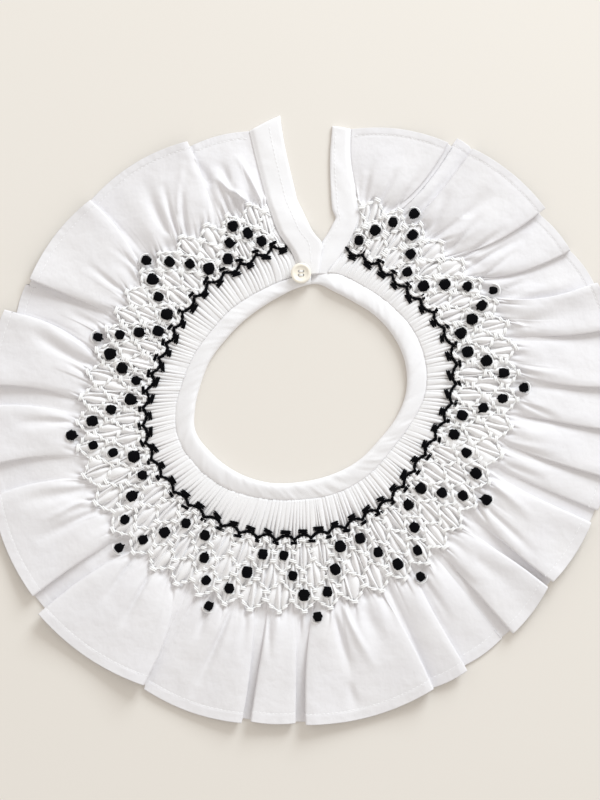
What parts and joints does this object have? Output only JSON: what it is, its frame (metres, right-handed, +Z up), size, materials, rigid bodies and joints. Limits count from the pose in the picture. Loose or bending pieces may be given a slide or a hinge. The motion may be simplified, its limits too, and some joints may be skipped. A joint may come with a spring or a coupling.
{
  "type": "smocked ruffle collar",
  "caption": "Round white cotton collar laid flat: a bias neckband, a smocked yoke with black stitching, a wide folded ruffle, and a button that fastens the lapped back ends.",
  "frame": {"origin": "middle of the collar's box, on the table it lies on", "axes": "+Z up out of the right side of the cloth, +Y from the middle towards the back opening, +X to the right seen from above"},
  "size_m": [0.312, 0.2986, 0.0075],
  "materials": {
    "white_cotton": "matte plain-weave cotton",
    "black_thread": "matte twisted embroidery thread",
    "ivory_button": "polished, slightly clouded"
  },
  "bodies": {
    "root": {"collar_panel": "white_cotton", "neckband": "white_cotton", "left_placket": "white_cotton", "right_placket": "white_cotton", "button": "ivory_button"}
  },
  "joints": []
}
